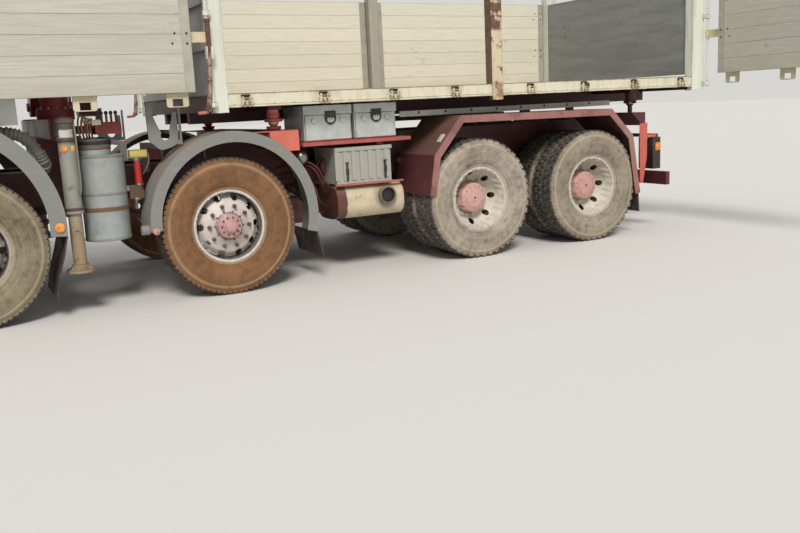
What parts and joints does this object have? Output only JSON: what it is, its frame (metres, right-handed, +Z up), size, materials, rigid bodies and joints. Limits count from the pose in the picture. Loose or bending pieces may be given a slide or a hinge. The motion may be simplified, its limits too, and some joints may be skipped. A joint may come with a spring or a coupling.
{
  "type": "dump truck",
  "caption": "Tipping dropside load truck with a folding loading crane behind the cab, twin rear tyres, hinged gates, outriggers and a tilting cab.",
  "frame": {"origin": "middle of the whole object's footprint on the ground, with the gates standing as pictured", "axes": "+X to the truck's front, +Y to its left, +Z up"},
  "size_m": [8.764, 5.3405, 3.3293],
  "materials": {
    "tyre_rubber": "dusty",
    "chassis_paint": "satin, dusty",
    "red_paint": "satin, dusty",
    "bed_paint": "worn satin",
    "gate_panel": "weathered",
    "grey_plastic": "dusty",
    "black_rubber": "dusty",
    "locker_metal": "worn",
    "steel": "worn",
    "cast_metal": "oily",
    "box_plastic": "dusty",
    "silencer_steel": "heat-stained",
    "cab_paint": "gloss, dusty",
    "clear_glass": "clear",
    "cab_trim": "matt",
    "lamp_plastic": "clear",
    "crane_paint": "satin",
    "tank_metal": "satin",
    "filter_plastic": "dusty, dented"
  },
  "bodies": {
    "chassis": {"chassis_frame": "chassis_paint", "engine_block": "cast_metal", "axles": "chassis_paint", "leaf_springs": "chassis_paint", "propeller_shafts": "chassis_paint", "tipping_subframe": "chassis_paint", "lockers": "locker_metal", "battery_box": "box_plastic", "silencer": "silencer_steel", "fuel_tank": "tank_metal", "air_tanks": "chassis_paint", "air_filter": "filter_plastic", "wheel_arches": "grey_plastic", "rear_fenders": "red_paint", "mudflaps": "black_rubber", "rear_guard": "chassis_paint", "lamps": "lamp_plastic", "front_bumper": "cab_paint", "crane_base": "crane_paint", "crane_column": "crane_paint"},
    "bed": {"bed_frame": "chassis_paint", "posts_and_headboard": "bed_paint"},
    "front_left_gate": {"gate_front_left": "gate_panel"},
    "rear_left_gate": {"gate_rear_left": "gate_panel"},
    "front_right_gate": {"gate_front_right": "gate_panel"},
    "rear_right_gate": {"gate_rear_right": "gate_panel"},
    "tailgate": {"tailgate": "gate_panel"},
    "tipping_tube": {"tipping_cylinder": "crane_paint"},
    "tipping_stage": {"tipping_cylinder_stage": "steel"},
    "tipping_rod": {"tipping_cylinder_rod": "steel"},
    "cab": {"cab_shell": "cab_paint", "cab_glass": "clear_glass", "cab_interior": "cab_trim", "door_left": "cab_paint"},
    "right_door": {"door_right": "cab_paint"},
    "left_outrigger": {"outrigger_left": "crane_paint"},
    "right_outrigger": {"outrigger_right": "crane_paint"},
    "left_leg": {"outrigger_leg_left": "crane_paint"},
    "right_leg": {"outrigger_leg_right": "crane_paint"},
    "inner_boom": {"crane_inner_boom": "crane_paint"},
    "outer_boom": {"crane_outer_boom": "crane_paint"},
    "boom_extension": {"crane_extension": "crane_paint"},
    "luff_tube": {"luff_cylinder": "crane_paint"},
    "luff_rod_body": {"luff_rod": "steel"},
    "fold_tube": {"fold_cylinder": "crane_paint"},
    "fold_rod_body": {"fold_rod": "steel"},
    "left_knuckle_1": {"knuckle_1_left": "chassis_paint"},
    "right_knuckle_1": {"knuckle_1_right": "chassis_paint"},
    "left_knuckle_2": {"knuckle_2_left": "chassis_paint"},
    "right_knuckle_2": {"knuckle_2_right": "chassis_paint"},
    "left_wheel_1": {"wheel_1_left": "tyre_rubber"},
    "right_wheel_1": {"wheel_1_right": "tyre_rubber"},
    "left_wheel_2": {"wheel_2_left": "tyre_rubber"},
    "right_wheel_2": {"wheel_2_right": "tyre_rubber"},
    "left_wheel_3": {"wheel_3_left": "tyre_rubber"},
    "right_wheel_3": {"wheel_3_right": "tyre_rubber"},
    "left_wheel_4": {"wheel_4_left": "tyre_rubber"},
    "right_wheel_4": {"wheel_4_right": "tyre_rubber"}
  },
  "joints": [
    {"name": "steer_1_left", "type": "hinge", "parent": "chassis", "child": "left_knuckle_1", "pos_m": [2.892, -0.32, 0.56], "axis": [0, 0, 1], "range_deg": [-35, 35]},
    {"name": "spin_1_left", "type": "hinge", "parent": "left_knuckle_1", "child": "left_wheel_1", "pos_m": [2.892, -0.175, 0.56], "axis": [0, 1, 0], "continuous": true},
    {"name": "steer_1_right", "type": "hinge", "parent": "chassis", "child": "right_knuckle_1", "pos_m": [2.892, -2.18, 0.56], "axis": [0, 0, 1], "range_deg": [-35, 35]},
    {"name": "spin_1_right", "type": "hinge", "parent": "right_knuckle_1", "child": "right_wheel_1", "pos_m": [2.892, -2.325, 0.56], "axis": [0, 1, 0], "continuous": true},
    {"name": "steer_2_left", "type": "hinge", "parent": "chassis", "child": "left_knuckle_2", "pos_m": [0.962, -0.32, 0.56], "axis": [0, 0, 1], "range_deg": [-25, 25]},
    {"name": "spin_2_left", "type": "hinge", "parent": "left_knuckle_2", "child": "left_wheel_2", "pos_m": [0.962, -0.175, 0.56], "axis": [0, 1, 0], "continuous": true},
    {"name": "steer_2_right", "type": "hinge", "parent": "chassis", "child": "right_knuckle_2", "pos_m": [0.962, -2.18, 0.56], "axis": [0, 0, 1], "range_deg": [-25, 25]},
    {"name": "spin_2_right", "type": "hinge", "parent": "right_knuckle_2", "child": "right_wheel_2", "pos_m": [0.962, -2.325, 0.56], "axis": [0, 1, 0], "continuous": true},
    {"name": "spin_3_left", "type": "hinge", "parent": "chassis", "child": "left_wheel_3", "pos_m": [-1.471, -0.33, 0.56], "axis": [0, 1, 0], "continuous": true},
    {"name": "spin_3_right", "type": "hinge", "parent": "chassis", "child": "right_wheel_3", "pos_m": [-1.471, -2.17, 0.56], "axis": [0, 1, 0], "continuous": true},
    {"name": "spin_4_left", "type": "hinge", "parent": "chassis", "child": "left_wheel_4", "pos_m": [-2.837, -0.33, 0.56], "axis": [0, 1, 0], "continuous": true},
    {"name": "spin_4_right", "type": "hinge", "parent": "chassis", "child": "right_wheel_4", "pos_m": [-2.837, -2.17, 0.56], "axis": [0, 1, 0], "continuous": true},
    {"name": "bed_tip", "type": "hinge", "parent": "chassis", "child": "bed", "pos_m": [-3.588, -1.25, 1.37], "axis": [0, -1, 0], "range_deg": [0, 45]},
    {"name": "ram_lean", "type": "hinge", "parent": "chassis", "child": "tipping_tube", "pos_m": [-2.138, -1.25, 1.13], "axis": [0, -1, 0], "range_deg": [0, 21.34]},
    {"name": "ram_stage_slide", "type": "slide", "parent": "tipping_tube", "child": "tipping_stage", "axis": [0, 0, 1], "range_m": [0, 0.5461]},
    {"name": "ram_rod_slide", "type": "slide", "parent": "tipping_stage", "child": "tipping_rod", "axis": [0, 0, 1], "range_m": [0, 0.5461]},
    {"name": "gate_front_left_swing", "type": "hinge", "parent": "bed", "child": "front_left_gate", "pos_m": [1.047, 0.05, 2.13], "axis": [0, 0, 1], "range_deg": [0, 180]},
    {"name": "gate_rear_left_swing", "type": "hinge", "parent": "bed", "child": "rear_left_gate", "pos_m": [-4.358, 0.05, 2.13], "axis": [0, 0, -1], "range_deg": [0, 90]},
    {"name": "gate_front_right_swing", "type": "hinge", "parent": "bed", "child": "front_right_gate", "pos_m": [1.047, -2.55, 2.13], "axis": [0, 0, -1], "range_deg": [-180, 0]},
    {"name": "gate_rear_right_swing", "type": "hinge", "parent": "bed", "child": "rear_right_gate", "pos_m": [-4.358, -2.55, 2.13], "axis": [0, 0, 1], "range_deg": [-180, 0]},
    {"name": "tailgate_swing", "type": "hinge", "parent": "bed", "child": "tailgate", "pos_m": [-4.216, -1.25, 2.58], "axis": [0, 1, 0], "range_deg": [0, 60]},
    {"name": "cab_tilt", "type": "hinge", "parent": "chassis", "child": "cab", "pos_m": [4.192, -1.25, 0.98], "axis": [0, 1, 0], "range_deg": [0, 60]},
    {"name": "door_right_swing", "type": "hinge", "parent": "cab", "child": "right_door", "pos_m": [4.082, -2.405, 2.1], "axis": [0, 0, 1], "range_deg": [0, 70]},
    {"name": "outrigger_left_slide", "type": "slide", "parent": "chassis", "child": "left_outrigger", "axis": [0, 1, 0], "range_m": [0, 0.6]},
    {"name": "outrigger_right_slide", "type": "slide", "parent": "chassis", "child": "right_outrigger", "axis": [0, -1, 0], "range_m": [0, 0.6]},
    {"name": "leg_left_slide", "type": "slide", "parent": "left_outrigger", "child": "left_leg", "axis": [0, 0, -1], "range_m": [0, 0.3]},
    {"name": "leg_right_slide", "type": "slide", "parent": "right_outrigger", "child": "right_leg", "axis": [0, 0, -1], "range_m": [0, 0.3]},
    {"name": "boom_luff", "type": "hinge", "parent": "chassis", "child": "inner_boom", "pos_m": [2.062, -1.1, 2.95], "axis": [-1, 0, 0], "range_deg": [0, 100]},
    {"name": "luff_cylinder_lean", "type": "hinge", "parent": "chassis", "child": "luff_tube", "pos_m": [2.232, -1.35, 1.9], "axis": [1, 0, 0], "range_deg": [0, 9.85]},
    {"name": "luff_rod_slide", "type": "slide", "parent": "luff_tube", "child": "luff_rod_body", "axis": [0, 0.1462, 0.9893], "range_m": [0, 0.4848]},
    {"name": "boom_fold", "type": "hinge", "parent": "inner_boom", "child": "outer_boom", "pos_m": [1.622, -2.3, 1.6], "axis": [1, 0, 0], "range_deg": [0, 140]},
    {"name": "fold_cylinder_lean", "type": "hinge", "parent": "inner_boom", "child": "fold_tube", "pos_m": [1.832, -1.642, 2.687], "axis": [-1, 0, 0], "range_deg": [0, 2.45]},
    {"name": "fold_rod_slide", "type": "slide", "parent": "fold_tube", "child": "fold_rod_body", "axis": [0, -0.5595, -0.8289], "range_m": [0, 0.4913]},
    {"name": "boom_extend", "type": "slide", "parent": "outer_boom", "child": "boom_extension", "axis": [0, 0.7991, 0.6012], "range_m": [0, 1.2]}
  ],
  "couplings": [
    {"joint": "steer_1_right", "follows": "steer_1_left", "ratio": 1},
    {"joint": "steer_2_left", "follows": "steer_1_left", "ratio": 0.7},
    {"joint": "steer_2_right", "follows": "steer_1_left", "ratio": 0.7},
    {"joint": "ram_lean", "follows": "bed_tip", "ratio": 0.46309},
    {"joint": "ram_stage_slide", "follows": "bed_tip", "m_per_rad": 0.68897},
    {"joint": "ram_rod_slide", "follows": "bed_tip", "m_per_rad": 0.68897},
    {"joint": "luff_cylinder_lean", "follows": "boom_luff", "ratio": 0.09347},
    {"joint": "luff_rod_slide", "follows": "boom_luff", "m_per_rad": 0.27491},
    {"joint": "fold_cylinder_lean", "follows": "boom_fold", "ratio": 0.01394},
    {"joint": "fold_rod_slide", "follows": "boom_fold", "m_per_rad": 0.19902}
  ]
}
